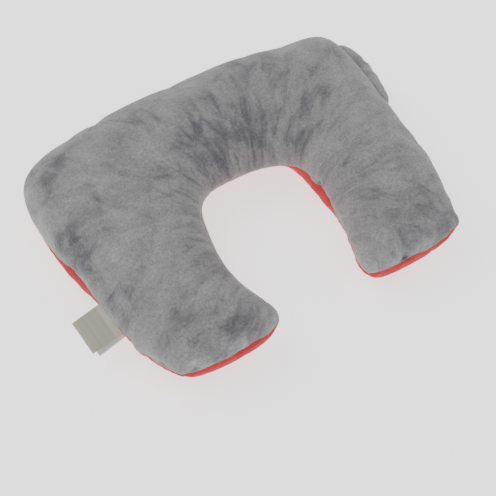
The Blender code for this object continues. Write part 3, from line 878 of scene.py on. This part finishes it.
# ---------------------------------------------------------------- the flap and the labels
def grid_faces(rows, columns, first=0, flip=False):
    """The quads between rows of points, numbered from first and turned over if flipped."""
    faces = []
    for row in range(rows - 1):
        for column in range(columns - 1):
            corner = first + row * columns + column
            face = (corner, corner + 1, corner + columns + 1, corner + columns)
            faces.append(face[::-1] if flip else face)
    return faces


def new_piece(name, points, faces):
    mesh = bpy.data.meshes.new(name)
    mesh.from_pydata([tuple(point) for point in points], [], faces)
    mesh.validate()
    made = bpy.data.objects.new(name, mesh)
    bpy.context.scene.collection.objects.link(made)
    return made


def side_x(tree, y, z):
    """Where the right side of the cover is, at that y and z."""
    hit = tree.ray_cast(Vector((0.30, y, z)), Vector((-1.0, 0.0, 0.0)))[0]
    return hit.x


# The flap's mesh, its thickness where it is fullest, how far its root is sunk into the cover, and
# how it hangs: its slope at the root in degrees, how much steeper its edge is, and how that wavers.
FLAP_ROWS = 61
FLAP_COLUMNS = 15
FLAP_THICK = 0.0048
FLAP_ROOT_SINK = 0.0015
FLAP_ROOT_Z = FLAP_HINGE.z + 0.0010
FLAP_SLOPE = 17.0
FLAP_DROOP = 15.0
FLAP_WAVER = 5.0


def flap_row(tree, share, sign):
    """One row of points from the flap's root to its edge, on its outer or inner layer."""
    y = FLAP_HINGE.y + FLAP_LENGTH * (0.5 - share**FLAP_SKEW)
    depth = FLAP_DEPTH * max(0.002, math.sin(math.pi * share)) ** FLAP_FULLNESS
    root_x = side_x(tree, y, FLAP_ROOT_Z) - FLAP_ROOT_SINK
    start = Vector((root_x, FLAP_ROOT_Z))
    wave = noise.noise(Vector((y * 90, 0.0, 5.0)))
    points = []
    for column in range(FLAP_COLUMNS):
        across = column / (FLAP_COLUMNS - 1)
        slope = math.radians(FLAP_SLOPE + FLAP_DROOP * across + FLAP_WAVER * wave * across)
        reach = (depth + FLAP_HINGE.x + FLAP_ROOT_SINK - start.x) * across
        middle_x = start.x + reach * math.cos(slope)
        middle_z = start.y - reach * math.sin(slope)
        rounded = (1.0 - (2 * across - 1) ** 4) ** 0.6
        thick = FLAP_THICK * rounded * min(1.0, depth / 0.010)
        ripple = 1.0 + 0.25 * noise.noise(Vector((y * 160, across * 3.0, 2.0)))
        offset = Vector((math.sin(slope), math.cos(slope))) * sign * thick / 2 * ripple
        points.append((middle_x + offset.x, y, middle_z + offset.y))
    return points


def valve_flap(panel, grey):
    """Two layers of plush sewn together as a half-moon, whose straight edge is sewn to the side."""
    tree = BVHTree.FromObject(panel, bpy.context.evaluated_depsgraph_get())
    points = []
    for sign in (1.0, -1.0):
        for row in range(FLAP_ROWS):
            points += flap_row(tree, row / (FLAP_ROWS - 1), sign)
    outer = grid_faces(FLAP_ROWS, FLAP_COLUMNS)
    faces = outer + grid_faces(FLAP_ROWS, FLAP_COLUMNS, FLAP_ROWS * FLAP_COLUMNS, flip=True)
    made = new_piece("plush_flap", points, faces)
    weld = made.modifiers.new("edge", "WELD")
    weld.merge_threshold = 0.00002
    subdivided(made, 1)
    made.modifiers.clear()
    return finished(made, None, "valve_flap", grey)


def seam_frame(root_back, root_front, slope):
    """A frame at the middle of a label's root: local X away from the seam, Y along it."""
    along = (root_back - root_front).normalized()
    level = Vector((-along.y, along.x, 0.0)).normalized()
    away = level * math.cos(slope) - Vector((0.0, 0.0, 1.0)) * math.sin(slope)
    away = (away - along * away.dot(along)).normalized()
    up = away.cross(along)
    turn = Matrix((away, along, up)).transposed().to_4x4()
    return Matrix.Translation((root_back + root_front) / 2) @ turn


# The steps along and across a label, and the radius of its fold.
RIBBON_STEPS = 20
RIBBON_COLUMNS = 25
FOLD_R = 0.0006
RIBBON_CURL = 0.0010  # how far a label's free edge waves up and down
FOLD_LIFT = 0.0004  # how far the layer that is folded back stands off the first


def ribbon_path(reach, folded):
    """A label's line out from the seam, and back above itself if it is folded, as (x, z) points."""
    path = [(reach * k / RIBBON_STEPS, 0.0) for k in range(RIBBON_STEPS + 1)]
    if not folded:
        return path
    for angle in np.linspace(0.4, 2.75, 6):
        path.append((reach + FOLD_R * math.sin(angle), FOLD_R - FOLD_R * math.cos(angle)))
    for k in range(RIBBON_STEPS, -1, -1):
        lift = FOLD_LIFT * math.sin(math.pi * k / RIBBON_STEPS)
        path.append((reach * k / RIBBON_STEPS, 2 * FOLD_R + lift))
    return path


def label(name, node, finish, frame_at, width, reach, folded, sag, thickness):
    """A ribbon of cloth sewn in at the seam, and folded back on itself at its far end if folded."""
    path = ribbon_path(reach, folded)
    points = []
    for x, z in path:
        for column in range(RIBBON_COLUMNS):
            y = width * (column / (RIBBON_COLUMNS - 1) - 0.5)
            share = x / reach
            curl = RIBBON_CURL * share * math.sin(7.0 * y / width + 1.0)
            droop = -sag * share**2 + curl
            points.append((x, y, z + droop))
    made = new_piece(name, points, grid_faces(len(path), RIBBON_COLUMNS))
    solid = made.modifiers.new("cloth", "SOLIDIFY")
    solid.thickness = thickness
    solid.offset = 0.0
    made.matrix_world = frame_at
    finished(made, "pillow", node, finish)
    return made


# Where the tab's root starts and ends on the seam, and each label's slope away from it.
TAB_ROOT = (Vector((-0.1935, -0.1395, 0.0465)), Vector((-0.1893, -0.1766, 0.0355)))
TAB_SLOPE = math.radians(19.0)
CARE_DROP = Vector((0.0, 0.0, -0.0030))  # from the tab's root to the care label's
CARE_SHIFT = 0.0060  # along the seam towards the tip of the arm
CARE_SLOPE = math.radians(29.0)


def labels():
    back, front = TAB_ROOT
    tab = label(
        "ribbon_tab",
        "brand_tab",
        ribbon("tab_ribbon", (0.42, 0.405, 0.325), (0.49, 0.475, 0.385), (0.58, 0.57, 0.48)),
        seam_frame(back, front, TAB_SLOPE),
        width=0.039,
        reach=0.038,
        folded=True,
        sag=0.0010,
        thickness=0.0003,
    )
    shift = (front - back).normalized() * CARE_SHIFT
    care = label(
        "care_ribbon",
        "care_label",
        ribbon("care_satin", (0.74, 0.74, 0.73), (0.84, 0.84, 0.83), (0.84, 0.84, 0.83)),
        seam_frame(back + CARE_DROP + shift, front + CARE_DROP + shift, CARE_SLOPE),
        width=0.036,
        reach=0.034,
        folded=False,
        sag=0.0030,
        thickness=0.0002,
    )


# ---------------------------------------------------------------- the zip and the valve
STITCHES = 48
STITCH_START_X = -0.0846
STITCH_PITCH = 0.0036
STITCH_HALF = 0.0013
STITCH_THICK = 0.00032
STITCH_RISE = 0.0002  # how far its middle stands out, and how far its ends go in
STITCH_AWAY = 0.0024  # from the edge of the zip's opening
STITCH_SIDES = 8


def stitch(ends, first):
    """The points of one stitch, a thread thickest in the middle, and its faces numbered from first."""
    points, faces = [], []
    lifts = (-STITCH_RISE, STITCH_RISE, -STITCH_RISE)
    for end, swell, lift in zip(ends, (0.45, 1.0, 0.45), lifts):
        radius = STITCH_THICK * swell
        for side in range(STITCH_SIDES):
            turn = math.tau * side / STITCH_SIDES
            offset = (0.0, lift + radius * math.cos(turn), radius * math.sin(turn))
            points.append(end + Vector(offset))
    for ring in (0, 1):
        start = first + ring * STITCH_SIDES
        for side in range(STITCH_SIDES):
            a, b = start + side, start + (side + 1) % STITCH_SIDES
            faces.append((a, b, b + STITCH_SIDES, a + STITCH_SIDES))
    last = first + 2 * STITCH_SIDES
    faces.append(tuple(first + side for side in reversed(range(STITCH_SIDES))))
    faces.append(tuple(last + side for side in range(STITCH_SIDES)))
    return points, faces


def zip_stitching(panels):
    """A row of thread stitches on each panel, beside the zip."""
    graph = bpy.context.evaluated_depsgraph_get()
    points, faces = [], []
    for panel, sign in zip(panels, (1.0, -1.0)):
        tree = BVHTree.FromObject(panel, graph)
        z = SEAM_Z + sign * (SLOT_HALF + STITCH_AWAY)
        for number in range(STITCHES):
            centre = STITCH_START_X + STITCH_PITCH * number
            ends = []
            for x in (centre - STITCH_HALF, centre, centre + STITCH_HALF):
                hit = tree.ray_cast(Vector((x, 0.12, z)), Vector((0.0, -1.0, 0.0)))[0]
                ends.append(Vector((x, hit.y, z)))
            more_points, more_faces = stitch(ends, len(points))
            points += more_points
            faces += more_faces
    made = new_piece("zip_stitches", points, faces)
    subdivided(made, 1)
    return finished(made, "pillow", None, thread())


def refinish():
    """Better materials on the CAD pieces whose shape is right."""
    finishes = (
        (vinyl(), ("valve_stem", "valve_plug", "valve_tether", "valve_check_flap")),
        (tape(), ("zip_tape_upper", "zip_tape_lower")),
        (teeth(), ("zip_teeth_upper", "zip_teeth_lower")),
        (
            metal(),
            ("zip_slider", "zip_pull", "zip_bottom_stop", "zip_top_stop_upper", "zip_top_stop_lower"),
        ),
    )
    for finish, names in finishes:
        for name in names:
            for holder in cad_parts[name].material_slots:
                holder.material = finish


studio()
grey = plush()
body = body_shape()
panels = cover(body, grey)
bpy.data.objects.remove(body)
bladder()
flap = valve_flap(panels[0], grey)
labels()
zip_stitching(panels)
refinish()
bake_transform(flap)
